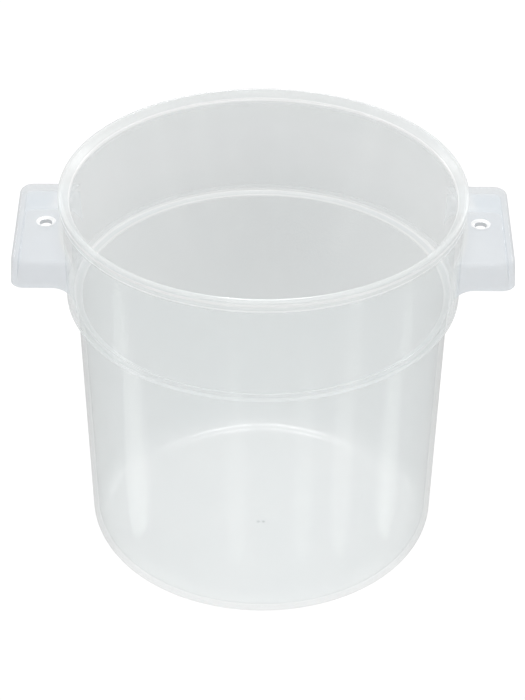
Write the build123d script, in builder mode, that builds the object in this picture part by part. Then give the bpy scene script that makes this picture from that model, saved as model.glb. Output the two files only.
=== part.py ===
from build123d import *
import math
import os

# Round dough proofing container, moulded in one shot from natural polypropylene.
# Lengths are in millimetres and drafts in degrees. The origin is the centre of the
# circle that the container stands on, +Z is up, and the two ears lie along X.

# Overall size
container_height = 240.0
rim_radius = 120.0

# Rim bead: the thick ring round the mouth, sloped inside to lead a lid's plug in
bead_height = 8.2
bead_overhang = 2.0
bead_bevel = 1.2
lead_in_width = 4.2
lead_in_depth = 4.8

# Collar: the wide upper wall, from the shoulder's underside to the rim
collar_height = 71.7
collar_thickness = 4.7
collar_outer_draft = 1.4
collar_inner_draft = 0.9

# Shoulder: the step in from the collar to the body, sloped on the inside
shoulder_step = 6.05
shoulder_thickness = 3.2
shoulder_slope_drop = 2.0
shoulder_bevel = 2.0

# Body: the long lower wall
body_thickness = 3.2
body_draft = 2.2

# Heel: the round corner, drawn with a few chords so that it needs few facets
heel_radius = 16.5
heel_chords = 4

# Floor: a ring to stand on, a recess inside it and the gate mark in the middle
floor_thickness = 3.2
foot_width = 7.0
foot_recess_depth = 1.0
foot_recess_slope = 1.5
gate_radius = 6.0
gate_depth = 0.6

# Ears: two drafted trays, open underneath, whose skirts flare down to the collar
ear_drop = 23.5
ear_projection = 27.8
ear_skirt_depth = 17.5
ear_half_width = 44.4
ear_draft = 2.6
ear_corner_radius = 8.0
ear_bevel = 2.0
ear_thickness = 3.4
ear_flare_radius = 13.5
ear_overrun = 3.0

# Ear hole, sunk at its top edge and set out from the collar
hole_offset = 10.0
hole_radius = 3.5
hole_sink_radius = 5.5
hole_sink_angle = 118.0

# Heights that follow from these sizes
bead_base = container_height - bead_height
lead_in_base = container_height - lead_in_depth
shoulder_height = container_height - collar_height
shoulder_ledge = shoulder_height + shoulder_thickness
floor_top = foot_recess_depth + floor_thickness
ear_top = container_height - ear_drop
ear_base = ear_top - ear_skirt_depth
ear_ceiling = ear_top - ear_thickness


def drafted(length, draft):
    """How far a drafted wall leans over a length."""
    return length * math.tan(math.radians(draft))


def collar_outer(height):
    """Outer radius of the collar at a height."""
    return rim_radius - bead_overhang - drafted(bead_base - height, collar_outer_draft)


def collar_inner(height):
    """Inner radius of the collar at a height."""
    mouth_radius = rim_radius - bead_overhang - collar_thickness
    return mouth_radius - drafted(lead_in_base - height, collar_inner_draft)


def body_outer(height):
    """Outer radius of the body at a height."""
    root_radius = collar_outer(shoulder_height) - shoulder_step
    return root_radius - drafted(shoulder_height - height, body_draft)


def body_inner(height):
    """Inner radius of the body at a height."""
    return body_outer(height) - body_thickness


def corner_at(section, place):
    """Finds the corner of a section that stands at a radius and a height."""
    return section.vertices().sort_by_distance(place)[0]


def heel_arc(start_radius, level, radius):
    """Points along a round corner, from the flat at a level up to the leaning wall."""
    turn = 90 - body_draft
    points = []
    for step in range(heel_chords + 1):
        angle = math.radians(turn * step / heel_chords)
        points.append((start_radius + radius * math.sin(angle), level + radius - radius * math.cos(angle)))
    return points


# Both faces of the heel leave the floor at one radius, which fixes the inner corner.
corner_share = math.tan(math.radians((90 - body_draft) / 2))
foot_radius = body_outer(0) - heel_radius * corner_share
heel_inner_radius = (body_inner(floor_top) - foot_radius) / corner_share
outer_heel = heel_arc(foot_radius, 0, heel_radius)
inner_heel = heel_arc(foot_radius, floor_top, heel_inner_radius)
heel_top = inner_heel[-1][1]

# The ears stand out from the collar's outer face.
ear_reach = collar_outer(ear_top) + ear_projection
hole_distance = collar_outer(ear_top) + hole_offset


# Rim bead
with BuildPart() as rim_bead:
    with BuildSketch(Plane.XZ) as bead_section:
        bead_crest = (rim_radius, container_height)
        with BuildLine():
            Polyline(
                (collar_inner(bead_base), bead_base),
                (rim_radius, bead_base),
                bead_crest,
                (collar_inner(lead_in_base) + lead_in_width, container_height),
                (collar_inner(lead_in_base), lead_in_base),
                close=True,
            )
        make_face()
        chamfer(corner_at(bead_section, bead_crest), bead_bevel)
    revolve(axis=Axis.Z)

# Collar wall
with BuildPart() as collar_wall:
    with BuildSketch(Plane.XZ):
        with BuildLine():
            Polyline(
                (collar_inner(shoulder_ledge), shoulder_ledge),
                (collar_outer(shoulder_ledge), shoulder_ledge),
                (collar_outer(bead_base), bead_base),
                (collar_inner(bead_base), bead_base),
                close=True,
            )
        make_face()
    revolve(axis=Axis.Z)

# Shoulder ring: its underside is level, and its ledge slopes in and down to the body
with BuildPart() as shoulder_ring:
    with BuildSketch(Plane.XZ) as shoulder_section:
        shoulder_corner = (collar_outer(shoulder_height), shoulder_height)
        slope_foot = shoulder_ledge - shoulder_slope_drop
        with BuildLine():
            Polyline(
                (collar_inner(shoulder_ledge), shoulder_ledge),
                (collar_outer(shoulder_ledge), shoulder_ledge),
                shoulder_corner,
                (body_inner(shoulder_height), shoulder_height),
                (body_inner(slope_foot), slope_foot),
                close=True,
            )
        make_face()
        chamfer(corner_at(shoulder_section, shoulder_corner), shoulder_bevel)
    revolve(axis=Axis.Z)

# Body wall
with BuildPart() as body_wall:
    with BuildSketch(Plane.XZ):
        with BuildLine():
            Polyline(
                (body_inner(heel_top), heel_top),
                (body_outer(heel_top), heel_top),
                (body_outer(shoulder_height), shoulder_height),
                (body_inner(shoulder_height), shoulder_height),
                close=True,
            )
        make_face()
    revolve(axis=Axis.Z)

# Heel ring: the round corner between the body and the floor
with BuildPart() as heel_ring:
    with BuildSketch(Plane.XZ):
        with BuildLine():
            Polyline(*outer_heel, (body_outer(heel_top), heel_top), *reversed(inner_heel), close=True)
        make_face()
    revolve(axis=Axis.Z)

# Floor panel: the container stands on its outer ring, and the rest is held clear
with BuildPart() as floor_panel:
    with BuildSketch(Plane.XZ):
        foot_inside = foot_radius - foot_width
        gate_ceiling = foot_recess_depth + gate_depth
        with BuildLine():
            Polyline(
                (0, gate_ceiling),
                (gate_radius, gate_ceiling),
                (gate_radius, foot_recess_depth),
                (foot_inside - foot_recess_slope, foot_recess_depth),
                (foot_inside, 0),
                (foot_radius, 0),
                (foot_radius, floor_top),
                (0, floor_top),
                close=True,
            )
        make_face()
    revolve(axis=Axis.Z)


def ear_plan(level, inset):
    """Draws the ear's plan, drawn in by an inset, on a level, out from the axis."""
    reach = ear_reach - inset
    half_width = ear_half_width - inset
    tip_corners = [(-reach, -half_width), (-reach, half_width)]
    with BuildSketch(Plane.XY.offset(level)) as plan:
        with BuildLine():
            Polyline((0, -half_width), *tip_corners, (0, half_width), close=True)
        make_face()
        for corner in tip_corners:
            fillet(corner_at(plan, corner), ear_corner_radius - inset)
    return plan.sketch


# Left ear: a drafted block, hollowed from below, cut to its side view and to the collar
with BuildPart() as left_ear:
    drop = ear_skirt_depth + ear_flare_radius + ear_overrun
    extrude(ear_plan(ear_top, 0), drop, dir=(0, 0, -1), taper=-ear_draft)
    top_edges = left_ear.faces().sort_by(Axis.Z)[-1].edges().sort_by(Axis.X)
    chamfer(top_edges[:-1], ear_bevel)
    hollow = ear_plan(ear_ceiling, ear_thickness)
    extrude(hollow, drop, dir=(0, 0, -1), taper=-ear_draft, mode=Mode.SUBTRACT)

    # Side view below the skirts: level to the flare, then round and down to the collar
    with BuildSketch(Plane.XZ) as below_skirts:
        wall_reach = math.sqrt(collar_outer(ear_base) ** 2 - ear_half_width**2)
        flare_start = (-wall_reach - ear_flare_radius, ear_base)
        flare_end = (-wall_reach, ear_base - ear_flare_radius)
        flare_foot = (0, ear_base - ear_flare_radius)
        far_side = -ear_reach - drafted(drop, ear_draft) - ear_overrun
        low_side = ear_top - drop - ear_overrun
        with BuildLine():
            Line((far_side, ear_base), flare_start)
            RadiusArc(flare_start, flare_end, ear_flare_radius)
            Polyline(flare_end, flare_foot, (0, low_side), (far_side, low_side), (far_side, ear_base))
        make_face()
    extrude(amount=ear_reach, both=True, mode=Mode.SUBTRACT)

    # The collar's own outer face
    with BuildSketch(Plane.XZ):
        with BuildLine():
            Polyline(
                (0, shoulder_height),
                (collar_outer(shoulder_height), shoulder_height),
                (collar_outer(bead_base), bead_base),
                (0, bead_base),
                close=True,
            )
        make_face()
    revolve(axis=Axis.Z, mode=Mode.SUBTRACT)

    with Locations((-hole_distance, 0, ear_top)):
        CounterSinkHole(hole_radius, hole_sink_radius, ear_skirt_depth, hole_sink_angle)

# Right ear
with BuildPart() as right_ear:
    mirror(left_ear.part, about=Plane.YZ)

rim_bead.part.label = "rim_bead"
collar_wall.part.label = "collar_wall"
shoulder_ring.part.label = "shoulder_ring"
body_wall.part.label = "body_wall"
heel_ring.part.label = "heel_ring"
floor_panel.part.label = "floor_panel"
left_ear.part.label = "left_ear"
right_ear.part.label = "right_ear"

os.makedirs("parts", exist_ok=True)
export_step(rim_bead.part, "parts/rim_bead.step")
export_step(collar_wall.part, "parts/collar_wall.step")
export_step(shoulder_ring.part, "parts/shoulder_ring.step")
export_step(body_wall.part, "parts/body_wall.step")
export_step(heel_ring.part, "parts/heel_ring.step")
export_step(floor_panel.part, "parts/floor_panel.step")
export_step(left_ear.part, "parts/left_ear.step")
export_step(right_ear.part, "parts/right_ear.step")
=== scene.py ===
# %% [markdown]
# # A dough proofing container in natural polypropylene
#
# Bakers let dough rise in a round, see-through tub like this one. The real thing is a
# single moulding: a stepped wall, a thick bead round the mouth and two drilled ears.
# This script builds its finished look in Blender around the measured solids, which
# arrive as a frame of eight named regions in metres.

import math

import bmesh
import bpy
from mathutils import Matrix, Vector


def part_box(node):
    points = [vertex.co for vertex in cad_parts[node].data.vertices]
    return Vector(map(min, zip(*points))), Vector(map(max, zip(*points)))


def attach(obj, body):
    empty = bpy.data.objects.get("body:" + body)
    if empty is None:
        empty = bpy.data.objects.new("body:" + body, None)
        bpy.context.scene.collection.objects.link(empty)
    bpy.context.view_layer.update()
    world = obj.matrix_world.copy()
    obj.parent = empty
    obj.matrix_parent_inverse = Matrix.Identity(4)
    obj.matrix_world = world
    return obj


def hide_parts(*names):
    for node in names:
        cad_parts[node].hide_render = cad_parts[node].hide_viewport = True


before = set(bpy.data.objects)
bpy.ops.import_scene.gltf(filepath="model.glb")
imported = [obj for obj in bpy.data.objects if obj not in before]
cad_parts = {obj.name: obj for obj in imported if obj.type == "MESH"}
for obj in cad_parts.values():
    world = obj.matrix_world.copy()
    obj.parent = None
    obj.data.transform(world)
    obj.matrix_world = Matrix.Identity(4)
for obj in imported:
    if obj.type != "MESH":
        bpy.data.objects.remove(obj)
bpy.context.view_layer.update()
print("regions in the frame:", sorted(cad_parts))

# %% [markdown]
# ## Sizes
#
# Every height and radius that the solids fix is read from the boxes of their regions,
# so the finished piece can't drift from them. Wall thicknesses and small rounds don't
# show in a box, so they are named here. All of them are lengths in metres, written as
# a count of millimetres.

# %% Heights and radii read from the frame
MM = 0.001


def top(region):
    """Highest level of a region."""
    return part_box(region)[1].z


def base(region):
    """Lowest level of a region."""
    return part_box(region)[0].z


def reach(region):
    """Largest distance of a round region from the axis."""
    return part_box(region)[1].x


rim_top, bead_base, rim_radius = top("rim_bead"), base("rim_bead"), reach("rim_bead")
ledge_level, collar_radius = base("collar_wall"), reach("collar_wall")
shoulder_base = base("shoulder_ring")
body_radius, body_foot_radius = reach("body_wall"), reach("heel_ring")
floor_top, foot_radius = top("floor_panel"), reach("floor_panel")
print(f"rim {rim_radius / MM:.1f} mm out and {rim_top / MM:.1f} mm up")
print(f"body {body_radius / MM:.1f} mm out")

# %% [markdown]
# A wall leans so that the moulding comes out of its mould. Two levels of a wall in the
# frame give its lean, and the inner face of the collar has a draft of its own. With
# that, the radius of each face can be asked for at any level.

# %% Leaning walls
collar_thickness, body_thickness = 4.7 * MM, 3.2 * MM
lead_in_depth = 4.8 * MM
lead_in_base = rim_top - lead_in_depth
collar_inner_draft = 0.9


def lean_of(draft):
    """Metres sideways for each metre of height, from a draft in degrees."""
    return math.tan(math.radians(draft))


collar_lean = (collar_radius - reach("shoulder_ring")) / (bead_base - ledge_level)
body_lean = (body_radius - body_foot_radius) / (shoulder_base - base("body_wall"))


def collar_outer(level):
    """Outer radius of the collar at a level."""
    return collar_radius - (bead_base - level) * collar_lean


def collar_inner(level):
    """Inner radius of the collar at a level."""
    mouth_radius = collar_radius - collar_thickness
    return mouth_radius - (lead_in_base - level) * lean_of(collar_inner_draft)


def body_outer(level):
    """Outer radius of the body at a level."""
    return body_radius - (shoulder_base - level) * body_lean


def body_inner(level):
    """Inner radius of the body at a level."""
    return body_outer(level) - body_thickness


print(f"the mouth is {2 * collar_inner(lead_in_base) / MM:.1f} mm wide below its lead-in")

# %% [markdown]
# ## The tub
#
# The tub is a turned shape, so it is made as a potter would: one half section spun
# round the axis. A Screw modifier on a drawn curve would turn it too, but here each
# corner of the section stays a row in a table. The section starts as a flat face with
# sharp corners. A bevel on a single corner point of a face rounds it like a fillet, and
# each corner gets the radius that a mould maker would give it. Only the section's
# outline is kept and spun, without the edge that lies on the axis.

# %% Corners of the section
lead_in_width = 4.2 * MM
slope_foot = ledge_level - 2.0 * MM
foot_width, foot_recess, foot_slope = 7.0 * MM, 1.0 * MM, 1.5 * MM
foot_inside = foot_radius - foot_width
gate_radius, gate_ceiling = 6.0 * MM, foot_recess + 0.6 * MM
nub_radius, nub_base = 1.5 * MM, gate_ceiling - 0.5 * MM
heel_round, heel_segments = 16.5 * MM, 14
heel_shrink = (body_inner(floor_top) - foot_radius) / (body_outer(0) - foot_radius)
section_corners = [
    # radius, height, radius of the round, segments of the round
    (0, nub_base, 0, 0),
    (nub_radius, nub_base, 0.3 * MM, 2),
    (nub_radius, gate_ceiling, 0, 0),
    (gate_radius, gate_ceiling, 0, 0),
    (gate_radius, foot_recess, 0.3 * MM, 2),
    (foot_inside - foot_slope, foot_recess, 0.5 * MM, 2),
    (foot_inside, 0, 0.6 * MM, 2),
    (body_outer(0), 0, heel_round, heel_segments),
    (body_radius, shoulder_base, 1.2 * MM, 4),
    (collar_outer(shoulder_base), shoulder_base, 3.0 * MM, 6),
    (collar_radius, bead_base, 0.7 * MM, 3),
    (rim_radius, bead_base, 1.2 * MM, 4),
    (rim_radius, rim_top, 1.8 * MM, 6),
    (collar_inner(lead_in_base) + lead_in_width, rim_top, 1.6 * MM, 5),
    (collar_inner(lead_in_base), lead_in_base, 1.0 * MM, 4),
    (collar_inner(ledge_level), ledge_level, 1.2 * MM, 4),
    (body_inner(slope_foot), slope_foot, 1.4 * MM, 4),
    (body_inner(floor_top), floor_top, heel_shrink * heel_round, heel_segments),
    (0, floor_top, 0, 0),
]
print("corners of the section:", len(section_corners))


# %% Rounded section
def round_corner(shape, corner, radius, segments):
    """Rounds one corner point of a flat face with an arc of a radius."""
    one, two = (edge.other_vert(corner).co - corner.co for edge in corner.link_edges)
    setback = radius / math.tan(one.angle(two) / 2)
    bmesh.ops.bevel(
        shape, geom=[corner], offset=setback, offset_type="OFFSET", affect="VERTICES",
        segments=segments, profile=0.5, material=-1,
    )


section = bmesh.new()
corners = [section.verts.new((radius, 0, level)) for radius, level, *_ in section_corners]
section.faces.new(corners)
for corner, (_, _, radius, segments) in zip(corners, section_corners):
    if segments:
        round_corner(section, corner, radius, segments)
print("points in the rounded section:", len(section.verts))

# %% Spin the section
same_place = MM / 100
tub_steps = 192


def turn_round(shape, steps):
    """Spins an outline once round the axis, closes the seam and turns the faces out."""
    bmesh.ops.spin(
        shape, geom=shape.verts[:] + shape.edges[:], cent=(0, 0, 0), axis=(0, 0, 1),
        dvec=(0, 0, 0), angle=2 * math.pi, steps=steps, use_merge=True, use_duplicate=False,
    )
    bmesh.ops.remove_doubles(shape, verts=shape.verts, dist=same_place)
    bmesh.ops.recalc_face_normals(shape, faces=shape.faces)


def as_object(shape, name):
    """Turns a finished shape into an object at the origin."""
    mesh = bpy.data.meshes.new(name)
    shape.to_mesh(mesh)
    shape.free()
    piece = bpy.data.objects.new(name, mesh)
    bpy.context.scene.collection.objects.link(piece)
    return piece


on_axis = [edge for edge in section.edges if all(abs(v.co.x) < same_place for v in edge.verts)]
bmesh.ops.delete(section, geom=list(section.faces), context="FACES_ONLY")
bmesh.ops.delete(section, geom=on_axis, context="EDGES")
turn_round(section, tub_steps)
container = as_object(section, "container")
print("faces round the tub:", len(container.data.polygons))

# %% [markdown]
# ## The ears
#
# Each ear is a shallow tray, open underneath: a flat plate with a skirt round three
# sides, and at the collar the skirt sweeps down in a quarter round. It could be built
# face by face, but then the curve where it meets the round collar would have to be
# worked out. In the mould it is a drafted block with a smaller block taken out of it,
# and the same two blocks are used here, so that the cuts find that curve. Each starts
# as a plan with rounded corners, pushed down and spread a little by the draft. Cutters
# then give the hollow, the side view and the hole.

# %% Sizes of the ears
ear_low, ear_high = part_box("right_ear")
ear_lean = lean_of(2.6)
ear_half_width = ear_high.y - (ear_high.z - ear_low.z) * ear_lean
ear_skirt, ear_flare = 17.5 * MM, 13.5 * MM
ear_reach = ear_high.x - ear_skirt * ear_lean
ear_corner, ear_edge = 8.0 * MM, 3.0 * MM
ear_thickness, ear_inner_edge = 3.4 * MM, 2.0 * MM
overrun = 3.0 * MM
print(f"ears reach {ear_reach / MM:.1f} mm and are {2 * ear_half_width / MM:.1f} mm wide")


# %% Drafted block, used for the ear and for its hollow
def push_out(shape, way):
    """Extrudes a flat shape by a vector and gives the points that moved."""
    pushed = bmesh.ops.extrude_face_region(shape, geom=list(shape.faces))["geom"]
    moved = [item for item in pushed if isinstance(item, bmesh.types.BMVert)]
    bmesh.ops.translate(shape, verts=moved, vec=way)
    return moved


def drafted_block(inset, ceiling, edge_round):
    """A block with rounded corners whose sides spread downwards with the draft."""
    depth = ear_high.z - ear_low.z + overrun
    wide, far, near = ear_half_width - inset, ear_reach - inset, collar_radius / 2
    block = bmesh.new()
    outline = ((near, -wide), (far, -wide), (far, wide), (near, wide))
    plan = [block.verts.new((x, y, ceiling)) for x, y in outline]
    block.faces.new(plan)
    for corner in plan[1:3]:
        round_corner(block, corner, ear_corner - inset, 8)
    low = push_out(block, (0, 0, -depth))
    spread = Matrix.Diagonal((1 + depth * ear_lean / far, 1 + depth * ear_lean / wide, 1, 1))
    bmesh.ops.transform(block, matrix=spread, verts=low)
    top_edges = [
        edge for edge in block.edges
        if all(abs(v.co.z - ceiling) < same_place for v in edge.verts)
        and max(v.co.x for v in edge.verts) > near + MM
    ]
    bmesh.ops.bevel(
        block, geom=top_edges, offset=edge_round, offset_type="OFFSET", affect="EDGES",
        segments=5, profile=0.5, material=-1,
    )
    bmesh.ops.recalc_face_normals(block, faces=block.faces)
    return block


right_ear = as_object(drafted_block(0, ear_high.z, ear_edge), "right_ear_block")
hollow_block = drafted_block(ear_thickness, ear_high.z - ear_thickness, ear_inner_edge)
ear_hollow = as_object(hollow_block, "ear_hollow")
print("faces of the ear's block:", len(right_ear.data.polygons))

# %% [markdown]
# The side view is cut with one long bar. Its section is a rectangle below the skirt
# with its upper inner corner rounded the other way, which leaves the flare standing at
# the collar. The hole is a small turned cutter, wider where the sink is. A third cutter
# is as wide as the middle of the collar's wall, so that the ear ends inside the wall.

# %% Cutter for the side view
def side_view_cutter():
    """The bar that is taken away under the skirt, up to the flare."""
    skirt_base = ear_high.z - ear_skirt
    wall = math.sqrt(collar_outer(skirt_base) ** 2 - ear_half_width**2)
    far, low = ear_reach + 4 * overrun, ear_low.z - 2 * overrun
    bar = bmesh.new()
    outline = ((wall, low), (far, low), (far, skirt_base), (wall, skirt_base))
    points = [bar.verts.new((x, -2 * ear_half_width, z)) for x, z in outline]
    bar.faces.new(points)
    round_corner(bar, points[3], ear_flare, 12)
    push_out(bar, (0, 4 * ear_half_width, 0))
    bmesh.ops.recalc_face_normals(bar, faces=bar.faces)
    return as_object(bar, "side_view_cutter")


side_view = side_view_cutter()
print("faces of the bar:", len(side_view.data.polygons))


# %% Turned cutter for the collar
def turned_cutter(name, outline, steps, centre):
    """A solid turned round an upright axis through a centre."""
    tool = bmesh.new()
    points = [tool.verts.new((radius, 0, level)) for radius, level in outline]
    for one, two in zip(points, points[1:]):
        tool.edges.new((one, two))
    turn_round(tool, steps)
    bmesh.ops.translate(tool, verts=tool.verts, vec=centre)
    return as_object(tool, name)


low_end, high_end = ear_low.z - 3 * overrun, ear_high.z + overrun
wall_middle = collar_thickness / 2
core_outline = [
    (0, low_end), (collar_outer(low_end) - wall_middle, low_end),
    (collar_outer(high_end) - wall_middle, high_end), (0, high_end),
]
collar_core = turned_cutter("collar_core", core_outline, tub_steps, (0, 0, 0))
print("faces of the collar's cutter:", len(collar_core.data.polygons))

# %% Turned cutter for the hole
hole_distance = collar_outer(ear_high.z) + 10.0 * MM
hole_radius, sink_radius, sink_half_angle = 3.5 * MM, 5.5 * MM, 59
sink_depth = (sink_radius - hole_radius) / lean_of(sink_half_angle)
sink_start = ear_high.z - sink_depth
sink_mouth = sink_radius + overrun * (sink_radius - hole_radius) / sink_depth
hole_outline = [
    (0, ear_low.z), (hole_radius, ear_low.z), (hole_radius, sink_start),
    (sink_radius, ear_high.z), (sink_mouth, high_end), (0, high_end),
]
hole_tool = turned_cutter("hole_tool", hole_outline, 48, (hole_distance, 0, 0))
print(f"holes {2 * hole_radius / MM:.1f} mm wide, {hole_distance / MM:.1f} mm from the axis")


# %% Cut the ear
def combine(piece, tool, operation):
    """Cuts or joins a piece with a tool, keeps the result and throws the tool away."""
    step = piece.modifiers.new("combine", "BOOLEAN")
    step.operation, step.solver, step.object = operation, "EXACT", tool
    shown = piece.evaluated_get(bpy.context.evaluated_depsgraph_get())
    result = bpy.data.meshes.new_from_object(shown)
    piece.modifiers.clear()
    spent, piece.data = piece.data, result
    bpy.data.meshes.remove(spent)
    bpy.data.meshes.remove(tool.data)


for cutter in (ear_hollow, side_view, collar_core, hole_tool):
    combine(right_ear, cutter, "DIFFERENCE")
print("faces of the cut ear:", len(right_ear.data.polygons))

# %% Mirror the ear and join both ears to the tub
mirrored_ear = bmesh.new()
mirrored_ear.from_mesh(right_ear.data)
flip = Matrix.Diagonal((-1, 1, 1, 1))
bmesh.ops.transform(mirrored_ear, matrix=flip, verts=mirrored_ear.verts)
bmesh.ops.reverse_faces(mirrored_ear, faces=mirrored_ear.faces)
left_ear = as_object(mirrored_ear, "left_ear_block")
for ear in (right_ear, left_ear):
    combine(container, ear, "UNION")
container.data.name = "container"
print("faces of the whole container:", len(container.data.polygons))

# %% [markdown]
# A joined mesh keeps stray slivers and doubled points along the cut lines, so they
# are merged. Smooth shading with sharp edges above an angle keeps the plate flat and
# the bead round, and weighted normals stop the long faces from shading unevenly.

# %% Finish the mesh
merge_distance, sharp_angle, large_face_weight = MM / 50, 38, 60
joined = bmesh.new()
joined.from_mesh(container.data)
bmesh.ops.remove_doubles(joined, verts=joined.verts, dist=merge_distance)
bmesh.ops.dissolve_degenerate(joined, edges=joined.edges, dist=merge_distance)
print("open edges:", sum(not edge.is_manifold for edge in joined.edges))
print(f"volume: {joined.calc_volume() * 1e6:.1f} cubic centimetres")
joined.to_mesh(container.data)
joined.free()
container.data.shade_smooth()
container.data.set_sharp_from_angle(angle=math.radians(sharp_angle))
even = container.modifiers.new("even_shading", "WEIGHTED_NORMAL")
even.keep_sharp, even.weight = True, large_face_weight

# %% [markdown]
# The container is one moulding, so it stands for all eight regions of the frame, which
# stay hidden behind it for collisions. It never moves on its own, so it rides on the
# frame's only body.

# %% Tell the frame what the container is
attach(container, "root")
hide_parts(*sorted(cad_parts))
print("the container stands for", len(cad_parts), "regions")

# %% [markdown]
# ## Nodes in few words
#
# A material is a graph of small nodes. Two helpers let the graphs below read like sums:
# one makes a node and feeds its sockets, each with a number, a colour or what another
# node puts out, and the other is a Math node.

# %% Helpers for nodes
def add_node(tree, kind, fed=(), **settings):
    """A node with its settings made and its sockets fed with values or links."""
    node = tree.nodes.new(kind)
    for name, value in settings.items():
        setattr(node, name, value)
    for socket, item in dict(fed).items():
        if isinstance(item, bpy.types.NodeSocket):
            tree.links.new(item, node.inputs[socket])
        else:
            node.inputs[socket].default_value = item
    return node


def maths(tree, operation, *items):
    """A Math node on sockets or numbers."""
    return add_node(tree, "ShaderNodeMath", enumerate(items), operation=operation).outputs[0]


print("two helpers for nodes: add_node and maths")

# %% [markdown]
# Two effects are used in more than one place, so each is a node group that is built
# once. The first is a soft band, a mask that is 1 between two values and fades outside
# them. A colour ramp would draw one too, but its stops can't be fed from outside. The
# second is an uneven haze, a soft noise that can be drawn out along the height. An
# image of haze would show its repeats, and noise has none.

# %% Start of a group
def start_group(name, inputs, output):
    """A node group with one output, and the sockets at its two ends."""
    group = bpy.data.node_groups.new(name, "ShaderNodeTree")
    for label, usual in inputs.items():
        kind = "NodeSocketVector" if usual is None else "NodeSocketFloat"
        socket = group.interface.new_socket(name=label, socket_type=kind, in_out="INPUT")
        if usual is not None:
            socket.default_value = usual
    group.interface.new_socket(name=output, socket_type="NodeSocketFloat", in_out="OUTPUT")
    given = add_node(group, "NodeGroupInput").outputs
    return group, given, add_node(group, "NodeGroupOutput").inputs[output]


print("groups start with their sockets")


# %% Shared group: soft band
def ramp(tree, value, start, end, first, last):
    """A number that eases from first to last while a value goes from start to end."""
    fed = {"Value": value, "From Min": start, "From Max": end, "To Min": first, "To Max": last}
    node = add_node(tree, "ShaderNodeMapRange", fed, interpolation_type="SMOOTHSTEP")
    return node.outputs[0]


def soft_band_group():
    """A mask that is 1 between two values and fades outside them."""
    inputs = {"Value": 0, "Low": 0, "High": 1, "Fade": MM}
    group, given, mask = start_group("soft_band", inputs, "Mask")
    below = maths(group, "SUBTRACT", given["Low"], given["Fade"])
    above = maths(group, "ADD", given["High"], given["Fade"])
    rise = ramp(group, given["Value"], below, given["Low"], 0, 1)
    fall = ramp(group, given["Value"], given["High"], above, 1, 0)
    group.links.new(maths(group, "MULTIPLY", rise, fall), mask)
    return group


soft_band = soft_band_group()


def band(tree, value, low, high, fade):
    """Places the shared band with its own limits."""
    fed = {"Value": value, "Low": low, "High": high, "Fade": fade}
    return add_node(tree, "ShaderNodeGroup", fed, node_tree=soft_band).outputs["Mask"]


print("nodes in the soft band:", len(soft_band.nodes))


# %% Shared group: uneven haze
def haze_group():
    """Soft noise, drawn out along the height, that stands for uneven milkiness."""
    inputs = {"Place": None, "Per Metre": 50, "Upright Share": 1, "Detail": 2}
    group, given, result = start_group("uneven_haze", inputs, "Haze")
    squash = add_node(
        group, "ShaderNodeCombineXYZ", {"X": 1, "Y": 1, "Z": given["Upright Share"]},
    )
    stretched = add_node(
        group, "ShaderNodeVectorMath", {0: given["Place"], 1: squash.outputs[0]},
        operation="MULTIPLY",
    )
    noise = add_node(group, "ShaderNodeTexNoise", {
        "Vector": stretched.outputs[0], "Scale": given["Per Metre"], "Detail": given["Detail"],
    })
    spread = add_node(group, "ShaderNodeMapRange", {
        "Value": noise.outputs["Fac"], "From Min": 0.3, "From Max": 0.7,
    })
    group.links.new(spread.outputs[0], result)
    return group


uneven_haze = haze_group()
print("nodes in the uneven haze:", len(uneven_haze.nodes))

# %% [markdown]
# ## Natural polypropylene
#
# Polypropylene without pigment is milky: part of the light goes straight through a
# wall, and the rest is scattered inside it and comes back as a pale haze. Real
# scattering would be slow and noisy, so each face is a pale gloss plastic that is
# mostly see-through, and a wall has two such faces. A thin clear coat over it gives the
# soft polish that a mould leaves.

# %% The plastic
plastic = bpy.data.materials.new("milky_polypropylene")
plastic.use_nodes = True
plastic_tree = plastic.node_tree
shader = plastic_tree.nodes["Principled BSDF"]
shader.inputs["IOR"].default_value = 1.49
shader.inputs["Coat Roughness"].default_value = 0.11
shader.inputs["Specular IOR Level"].default_value = 0.25
container.data.materials.clear()
container.data.materials.append(plastic)
print("the container is made of", plastic.name)

# %% [markdown]
# The plastic looks different at its edges, ears and holes. That could be painted in an
# image or stored on the points of the mesh, but every such place is a feature of the
# shape. So its masks are drawn by height, by the distance from the axis and by how far
# back a point lies, all of them from Object coordinates, which stay with the container
# from every side. Masks are then put together like cut paper: both where two of them
# meet, either where one or the other is.

# %% Where a point lies, and how masks go together
place = add_node(plastic_tree, "ShaderNodeTexCoord").outputs["Object"]
axes = add_node(plastic_tree, "ShaderNodeSeparateXYZ", {0: place}).outputs
across, back, height = axes["X"], axes["Y"], axes["Z"]


def plan_distance(one, two):
    """Distance in plan, from a measure across and a measure back."""
    spot = add_node(plastic_tree, "ShaderNodeCombineXYZ", {"X": one, "Y": two}).outputs[0]
    length = add_node(plastic_tree, "ShaderNodeVectorMath", {0: spot}, operation="LENGTH")
    return length.outputs["Value"]


def zone(value, low, high, fade):
    """A soft band in the plastic."""
    return band(plastic_tree, value, low, high, fade)


def both(one, two):
    """A mask of where two masks meet."""
    return maths(plastic_tree, "MULTIPLY", one, two)


def either(one, two):
    """A mask of where one mask or the other is."""
    return maths(plastic_tree, "MAXIMUM", one, two)


from_axis = plan_distance(across, back)
print("masks go by height, by distance from the axis and by place from front to back")
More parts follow.
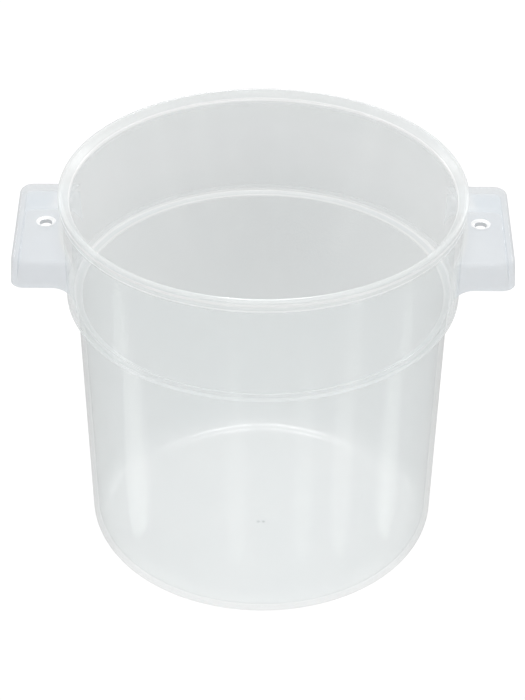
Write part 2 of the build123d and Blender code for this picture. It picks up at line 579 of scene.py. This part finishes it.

# %% [markdown]
# The bead, the shoulder and the ledge are thick or turn a corner, so more light comes back
# from them and they look whiter than the walls. The heel gets painted light, a tone a little
# whiter than the wall, and the ears get painted shade, a darker and bluer tone.

# %% Bead, ears, heel and shoulder
no_limit = 1.0
on_ear = zone(from_axis, rim_radius + 0.5 * MM, no_limit, 0.5 * MM)
on_bead = zone(height, bead_base + 1.5 * MM, rim_top + MM, 1.5 * MM)
# painted light: the heel's tone is made whiter
heel_painted_light = zone(height, -MM, 2 * MM, 6 * MM)
at_step = zone(height, shoulder_base - 0.5 * MM, ledge_level + 0.5 * MM, MM)
outside_step = collar_outer(shoulder_base) - 2.5 * MM
on_shoulder = both(at_step, zone(from_axis, outside_step, no_limit, 0.5 * MM))
print(f"bead above {bead_base / MM:.1f} mm, shoulder above {shoulder_base / MM:.1f} mm")

# %% [markdown]
# A thick clear edge gathers light into thin bright lines: two along the ledge, where its
# slope starts and ends, two round the outside of the bead, and one round the inside
# where the lead-in ends. A ray that only fades on its way through a face can't gather
# light, so these lines are masks too, and get their whiteness below.

# %% Lines along the ledge
slope_in, slope_out = body_inner(slope_foot), collar_inner(ledge_level)
slope_height = zone(height, slope_foot - 0.2 * MM, ledge_level + 0.8 * MM, 0.3 * MM)
slope_width = zone(from_axis, slope_in - 0.2 * MM, slope_out + 0.3 * MM, 0.2 * MM)
outer_line = zone(from_axis, slope_out - 1.1 * MM, slope_out + 0.2 * MM, 0.3 * MM)
inner_line = zone(from_axis, slope_in - 0.2 * MM, slope_in + 1.1 * MM, 0.3 * MM)
on_slope = both(slope_height, slope_width)
ledge_lines = both(slope_height, either(outer_line, inner_line))
print(f"the ledge's slope is {(slope_out - slope_in) / MM:.1f} mm wide")

# %% Lines round the lip
bead_face = zone(from_axis, rim_radius - 0.4 * MM, rim_radius + MM, 0.2 * MM)
upper_line = zone(height, rim_top - 3.9 * MM, rim_top - 2.8 * MM, 0.8 * MM)
lower_line = zone(height, bead_base + 0.6 * MM, bead_base + 1.4 * MM, 0.5 * MM)
lead_in_face = zone(from_axis, 0, collar_inner(lead_in_base) + 0.8 * MM, 0.3 * MM)
lead_in_line = zone(height, lead_in_base - 0.9 * MM, lead_in_base + 0.7 * MM, 0.3 * MM)
outer_lines = both(bead_face, either(upper_line, lower_line))
lip_lines = either(outer_lines, both(lead_in_line, lead_in_face))
print(f"the lead-in ends {lead_in_depth / MM:.1f} mm below the rim")

# %% [markdown]
# Each ear hole has a sink, whose slope gets a painted highlight, a white ring. The bore below
# it gets painted shade, dark only on its back half, which is the half that the photograph
# sees. In the middle of the floor the plastic came into the mould, and two small dark marks
# are left there.

# %% Ear holes
from_middle = maths(plastic_tree, "ABSOLUTE", across)
from_hole = plan_distance(maths(plastic_tree, "SUBTRACT", from_middle, hole_distance), back)
sink_ring = zone(from_hole, hole_radius + 0.3 * MM, sink_radius + 0.2 * MM, 0.2 * MM)
# painted highlight: the slope of each sink is whitened into a white ring
sink_painted_highlight = both(sink_ring, zone(height, sink_start, ear_high.z + MM, 0.2 * MM))
bore_wall = zone(from_hole, -MM, hole_radius + 0.1 * MM, 0.2 * MM)
# painted shade: the back half of each bore is darkened
bore_painted_shade = both(bore_wall, zone(back, 0.5 * MM, no_limit, 0.8 * MM))
print(f"each sink is {2 * sink_radius / MM:.1f} mm wide")

# %% Gate marks
gate_across, gate_front, gate_spacing, gate_size = 0.3 * MM, 7.5 * MM, 1.6 * MM, 0.6 * MM
beside_gate = maths(plastic_tree, "ABSOLUTE", maths(plastic_tree, "ADD", across, gate_across))
from_gate = plan_distance(
    maths(plastic_tree, "SUBTRACT", beside_gate, gate_spacing),
    maths(plastic_tree, "ADD", back, gate_front),
)
on_gate = both(zone(from_gate, -MM, gate_size, 0.5 * MM), zone(height, 0, 2 * MM, 0.2 * MM))
print(f"two marks, {2 * gate_spacing / MM:.1f} mm apart")

# %% [markdown]
# On the side away from the photograph, an ear gets painted light, a paler tone, where its
# skirt stands against the light: at its root on the collar, and less so along the back skirt.

# %% Ear roots and back skirts
beside_collar = zone(from_axis, collar_radius + 0.3 * MM, rim_radius + 6 * MM, 4 * MM)
root_side = zone(back, ear_half_width - 24 * MM, no_limit, 8 * MM)
at_root = both(both(root_side, beside_collar), zone(height, ear_low.z, ear_high.z, MM))
back_skirt = both(on_ear, zone(back, ear_half_width - 8 * MM, no_limit, 6 * MM))
back_skirt_share = 0.55
# painted light: a paler tone at the ear roots and back skirts
skirt_painted_light = either(at_root, both(back_skirt, back_skirt_share))
print(f"an ear's root starts {collar_radius / MM:.1f} mm out")

# %% [markdown]
# Natural polypropylene never cools quite evenly. The shared haze is placed three times:
# as broad clouds, as upright marks of the flow up the walls, and as a fine grain.

# %% Clouds, flow marks and grain
def haze(per_metre, upright_share, detail):
    """Places the shared haze with its own size and stretch."""
    return add_node(plastic_tree, "ShaderNodeGroup", {
        "Place": place, "Per Metre": per_metre,
        "Upright Share": upright_share, "Detail": detail,
    }, node_tree=uneven_haze).outputs["Haze"]


cloud, flow, grain = haze(26, 1.0, 3.0), haze(55, 0.05, 2.0), haze(700, 1.0, 2.0)
print("three kinds of haze in the plastic")

# %% [markdown]
# ### Density, tone and polish
#
# Alpha is how much of the light a face keeps. A plain wall keeps about a fifth at each
# of its two faces, and every mask adds a share of its own. The walls themselves stay
# below a quarter, because above that the renderer's denoiser works in another way and
# leaves specks at their sides. The tone is then laid on in thin washes, in this order.

# %% Density
plain_density = 0.21
density = plain_density
for mask, more in (
    (on_bead, 0.165), (lip_lines, 0.14), (on_slope, 0.11), (on_shoulder, 0.08),
    (sink_painted_highlight, 0.5), (bore_painted_shade, 0.3), (on_gate, 0.7),
    (flow, 0.008), (cloud, 0.008), (grain, 0.014),
):
    density = maths(plastic_tree, "MULTIPLY_ADD", mask, more, density)
plastic_tree.links.new(density, shader.inputs["Alpha"])
print("a plain face keeps", plain_density, "of the light")


# %% Tone
def mix(tree, kind, factor, start, end):
    """Goes from a start to an end, each a socket, a number or a colour."""
    fed = {"Factor": factor, "A": start, "B": end}
    return add_node(tree, "ShaderNodeMix", fed, data_type=kind).outputs["Result"]


edges = either(either(on_bead, on_shoulder), ledge_lines)
wall_tone = (0.835, 0.880, 0.880)
washes = (
    # mask, strength of the wash, colour
    # painted shade: the ears are darker and bluer than the wall
    (on_ear, 1, (0.69, 0.765, 0.845)),
    # painted light at the ear roots and back skirts
    (skirt_painted_light, 1, (0.95, 0.97, 0.985)),
    # painted light: a whiter heel
    (heel_painted_light, 0.75, (0.97, 0.98, 0.98)),
    (flow, 0.2, (0.90, 0.915, 0.915)),
    (on_slope, 1, (0.80, 0.84, 0.84)),
    (ledge_lines, 1, (0.97, 0.97, 0.97)),
    (edges, 0.7, (0.94, 0.955, 0.95)),
    (cloud, 0.25, (0.78, 0.84, 0.86)),
    (lip_lines, 1, (0.99, 0.99, 0.99)),
    # painted highlight: the white ring of each sink
    (sink_painted_highlight, 1, (0.97, 0.97, 0.97)),
    # painted shade in the back half of each bore
    (bore_painted_shade, 1, (0.40, 0.42, 0.44)),
    (on_gate, 1, (0.25, 0.27, 0.28)),
)
tone = (*wall_tone, 1)
for mask, strength, colour in washes:
    tone = mix(plastic_tree, "RGBA", both(mask, strength), tone, (*colour, 1))
plastic_tree.links.new(tone, shader.inputs["Base Color"])
print("washes over the wall's tone:", len(washes))

# %% Polish and ripple
plain_roughness, grain_roughness = 0.28, 0.05
wall_coat, edge_loss = 0.65, 0.45
ripple_strength, ripple_depth = 0.15, 0.1 * MM
roughness = maths(plastic_tree, "MULTIPLY_ADD", grain, grain_roughness, plain_roughness)
coat = maths(plastic_tree, "MULTIPLY_ADD", edges, -edge_loss, wall_coat)
ripple = add_node(plastic_tree, "ShaderNodeBump", {
    "Strength": ripple_strength, "Distance": ripple_depth, "Height": cloud,
})
for made, socket in (
    (roughness, "Roughness"), (coat, "Coat Weight"), (ripple.outputs[0], "Normal"),
):
    plastic_tree.links.new(made, shader.inputs[socket])
print("nodes in the plastic:", len(plastic_tree.nodes))

# %% [markdown]
# ## Studio
#
# The photograph is a cut-out: outside the container all is plain white, but through the
# milky walls the real table still shows, bright in front and greyer to the back. One
# white paper for all would be simpler, but the walls would hardly show on it. So the
# paper and the world are plain white where the camera sees them directly, and shade off
# where they are seen through the plastic or in it. Light Path tells the two apart: a ray
# that has passed through a see-through face has a transparent depth above zero. A part
# of the paper is lit, so that the container still has a soft shadow to stand on.

# %% Kinds of rays
def ray_kinds(tree):
    """Masks of rays straight from the camera, through the plastic, and mirrored in it."""
    ray = add_node(tree, "ShaderNodeLightPath").outputs
    past_plastic = maths(tree, "GREATER_THAN", ray["Transparent Depth"], 0.5)
    through = maths(tree, "MULTIPLY", ray["Is Camera Ray"], past_plastic)
    direct = maths(tree, "SUBTRACT", ray["Is Camera Ray"], through)
    mirrored = maths(tree, "MAXIMUM", ray["Is Glossy Ray"], ray["Is Transmission Ray"])
    return direct, through, mirrored


print("rays are told apart as direct, through the plastic, and mirrored")


# %% Table
def studio_tree(owner):
    """An empty node tree for a material or a world."""
    owner.use_nodes = True
    owner.node_tree.nodes.clear()
    return owner.node_tree


table_half, table_gap = 6.0, 0.2 * MM
floor_shape = bmesh.new()
bmesh.ops.create_grid(floor_shape, x_segments=1, y_segments=1, size=table_half)
floor = as_object(floor_shape, "studio_floor")
floor.location.z = -table_gap
floor_paper = bpy.data.materials.new("studio_paper")
floor.data.materials.append(floor_paper)
table_tree = studio_tree(floor_paper)
on_table = add_node(table_tree, "ShaderNodeTexCoord").outputs["Object"]
table_back = add_node(table_tree, "ShaderNodeSeparateXYZ", {0: on_table}).outputs["Y"]
print(f"the table is {2 * table_half:.0f} m wide")

# %% [markdown]
# What shows through the plastic goes from one level in front to another behind, with a painted
# soft shadow of the container, a darker patch behind it. A round heel also gathers light under
# itself, so a narrow ring round the front of the foot is a little brighter, a painted pool of
# light. All of it is laid on the table's own coordinates.

# %% Table as it shows through the plastic
near_level, far_level = 0.80, 0.725
near_edge, far_edge = 0.0, 0.16
shade_depth, shade_place, shade_size = 0.18, (0, 0.34, 0), (0.16, 0.30, 1)
foot_ring, foot_front, foot_lift = (0.092, 0.115, 0.02), (-1.0, -0.06, 0.04), 0.16
falloff = ramp(table_tree, table_back, near_edge, far_edge, near_level, far_level)
patch = add_node(table_tree, "ShaderNodeMapping", {
    "Vector": on_table, "Location": shade_place, "Scale": shade_size,
}, vector_type="TEXTURE")
ball = add_node(
    table_tree, "ShaderNodeTexGradient", {"Vector": patch.outputs[0]},
    gradient_type="SPHERICAL",
)
# painted shadow: a soft darker patch behind the container
soft_shade = ramp(table_tree, ball.outputs["Fac"], 0, 1, 1.0, 1.0 - shade_depth)
from_foot = add_node(table_tree, "ShaderNodeVectorMath", {0: on_table}, operation="LENGTH")
# painted pool of light round the front of the foot
round_foot = band(table_tree, from_foot.outputs["Value"], *foot_ring)
before_foot = band(table_tree, table_back, *foot_front)
gathered = maths(table_tree, "MULTIPLY", round_foot, before_foot)
foot_light = maths(table_tree, "MULTIPLY_ADD", gathered, foot_lift, 1.0)
table_level = maths(table_tree, "MULTIPLY", falloff, soft_shade)
table_level = maths(table_tree, "MULTIPLY", table_level, foot_light)
print(f"level of the table from {near_level} in front to {far_level} behind")

# %% Paper on the table
paper_white, paper_shadow, paper_bounce = 0.92, 0.12, 0.9
mirror_level = 0.5
direct, through, mirrored = ray_kinds(table_tree)
indirect = maths(table_tree, "MULTIPLY_ADD", mirrored, mirror_level, through)
seen_level = maths(table_tree, "MULTIPLY", indirect, table_level)
glow = add_node(table_tree, "ShaderNodeEmission", {
    "Color": mix(table_tree, "FLOAT", direct, seen_level, paper_white),
})
seen = maths(table_tree, "MAXIMUM", direct, maths(table_tree, "MAXIMUM", through, mirrored))
seen_paper = mix(table_tree, "FLOAT", direct, 0.0, paper_shadow)
paper = add_node(table_tree, "ShaderNodeBsdfDiffuse", {
    "Color": mix(table_tree, "FLOAT", seen, paper_bounce, seen_paper),
})
lit_paper = add_node(
    table_tree, "ShaderNodeAddShader", {0: glow.outputs[0], 1: paper.outputs[0]},
)
add_node(table_tree, "ShaderNodeOutputMaterial", {"Surface": lit_paper.outputs[0]})
print("nodes in the table's paper:", len(table_tree.nodes))

# %% World
sky_light, mirror_sky = 0.58, 0.9
world = bpy.data.worlds.new("studio_world")
bpy.context.scene.world = world
world_tree = studio_tree(world)
direct, through, mirrored = ray_kinds(world_tree)
lit_level = mix(world_tree, "FLOAT", mirrored, sky_light, mirror_sky)
unseen_level = mix(world_tree, "FLOAT", through, lit_level, far_level)
sky = add_node(world_tree, "ShaderNodeBackground", {
    "Color": (1, 1, 1, 1), "Strength": mix(world_tree, "FLOAT", direct, unseen_level, 1.0),
})
add_node(world_tree, "ShaderNodeOutputWorld", {"Surface": sky.outputs[0]})
print("sky light on the container:", sky_light)

# %% [markdown]
# ## Lamps
#
# A low soft box in front lights the near wall, and what goes through it lights the far
# wall, which is why the inside of a milky tub looks darker than its front. Two boxes
# behind light the back from both sides. A high box and one straight above light what
# lies flat: the ears, the ledge and the floor. Two narrow lamps high behind are only
# mirrored, and draw the fine bright lines at the ledge and the heel. A picture of a
# studio on the world could light it too, but lamps can be moved one by one.

# %% Directions and soft boxes
def heading(bearing, rise):
    """Direction from the container: bearing to the right of the camera, rise above level."""
    turn, up = math.radians(bearing), math.radians(rise)
    level = math.cos(up)
    return Vector((math.sin(turn) * level, -math.cos(turn) * level, math.sin(up)))


def soft_box(name, spot, facing, wide, tall, brightness, tint=(1, 1, 1), outline="RECTANGLE"):
    """A flat lamp at a spot, facing a direction, with a brightness where white is 1."""
    lamp = bpy.data.lights.new(name, "AREA")
    lamp.shape, lamp.size, lamp.size_y = outline, wide, tall
    area = wide * tall * (math.pi / 4 if outline == "ELLIPSE" else 1)
    lamp.energy, lamp.color = brightness * math.pi * area, tint
    stand = bpy.data.objects.new(name, lamp)
    stand.location = spot
    stand.rotation_euler = (-facing).to_track_quat("Z", "Y").to_euler()
    stand.visible_camera = False
    bpy.context.scene.collection.objects.link(stand)
    return stand


print("bearing 90 lies towards", [round(share, 3) for share in heading(90, 0)])

# %% Five soft boxes
aim, lamp_distance = Vector((0, 0, 125.9 * MM)), 1.5
for name, bearing, rise, wide, tall, brightness in (
    # bearing, rise, width, height, brightness
    ("front_box", 0, 5, 0.8, 0.5, 2.7),
    ("back_left_box", -135, 25, 0.6, 0.5, 6.5),
    ("back_right_box", 135, 25, 0.6, 0.5, 8.5),
    ("high_box", 0, 55, 0.6, 0.5, 1.5),
    ("above_box", 0, 89, 0.5, 0.5, 6.4),
):
    way = heading(bearing, rise)
    soft_box(name, aim + way * lamp_distance, -way, wide, tall, brightness)
    print(name, "at bearing", bearing, "and", rise, "degrees up")

# %% Glints
glint_rise, glint_wide, glint_tall, glint_brightness = 56, 0.08, 0.5, 110.0
for name, bearing in (("left_glint", -174.5), ("right_glint", 174.5)):
    way = heading(bearing, glint_rise)
    glint = soft_box(
        name, aim + way * lamp_distance, -way, glint_wide, glint_tall, glint_brightness,
    )
    glint.visible_diffuse = False
    print(name, "at bearing", bearing)

# %% [markdown]
# The camera looks down, so an upright wall mirrors the table and not the lamps. The
# long upright streaks on the wall are strips of light that lie on the table. They are
# ovals, so each streak thins out at its ends. A streak shows where the wall faces
# halfway between the strip and the camera, so its bearing on the wall fixes where the
# strip starts and which way it runs. Like the glints, the strips are only mirrored.

# %% Strips of light on the table
view_rise = 34.3
strip_start, strip_height = 0.045, 2 * MM
warm_white = (1, 0.96, 0.97)


def table_strip(name, wall_bearing, wide, long, brightness, tint=(1, 1, 1)):
    """A strip on the table that the wall mirrors as an upright streak at a bearing."""
    wall_lean = math.degrees(math.atan(body_lean))
    faces, sight = heading(wall_bearing, -wall_lean), heading(0, view_rise)
    mirrored_way = 2 * faces.dot(sight) * faces - sight
    run = Vector((mirrored_way.x, mirrored_way.y, 0)).normalized()
    foot = Vector((faces.x, faces.y, 0)).normalized() * body_foot_radius
    middle = foot + run * (long / 2 + strip_start) + Vector((0, 0, strip_height))
    strip = soft_box(name, middle, Vector((0, 0, 1)), wide, long, brightness, tint, "ELLIPSE")
    strip.rotation_euler = (math.pi, 0, math.atan2(run.y, run.x) + math.pi / 2)
    strip.visible_diffuse = False
    print(name, "shows at bearing", wall_bearing, "on the wall")


# bearing on the wall, width, length, brightness
table_strip("left_strip", -44.5, 0.06, 0.32, 2.7)
table_strip("right_strip", 26.5, 0.055, 0.46, 2.1, warm_white)
table_strip("right_back_strip", 45, 0.05, 0.30, 2.5)
table_strip("middle_left_strip", -8, 0.04, 0.24, 1.7)
table_strip("middle_right_strip", 13.3, 0.04, 0.24, 1.7)

# %% [markdown]
# ## Camera
#
# The camera looks down at the container from the front with a long lens, as in the
# photograph. Its height, its distance and a slight roll were fitted to the rims' and
# the ledge's outlines. A ray may meet many see-through faces on its way, so it is
# allowed more of them than usual.

# %% Camera
view_distance, view_roll = 1800 * MM, 0.007
focal_pixels, long_side_pixels, sensor_size = 2978.3, 700, 36
see_through_faces = 24
lens = bpy.data.cameras.new("photo_camera")
lens.sensor_width = sensor_size
lens.lens = focal_pixels / long_side_pixels * lens.sensor_width
camera = bpy.data.objects.new("photo_camera", lens)
rise = math.radians(view_rise)
away = Vector((0, -math.cos(rise), math.sin(rise)))
camera.location = aim + away * view_distance
camera.rotation_mode = "QUATERNION"
roll = Matrix.Rotation(view_roll, 3, "Z").to_quaternion()
camera.rotation_quaternion = away.to_track_quat("Z", "Y") @ roll
bpy.context.scene.collection.objects.link(camera)
bpy.context.scene.camera = camera
bpy.context.scene.view_settings.view_transform = "Standard"
bpy.context.scene.cycles.transparent_max_bounces = see_through_faces
print(f"lens of {lens.lens:.0f} mm, {view_rise} degrees above level")
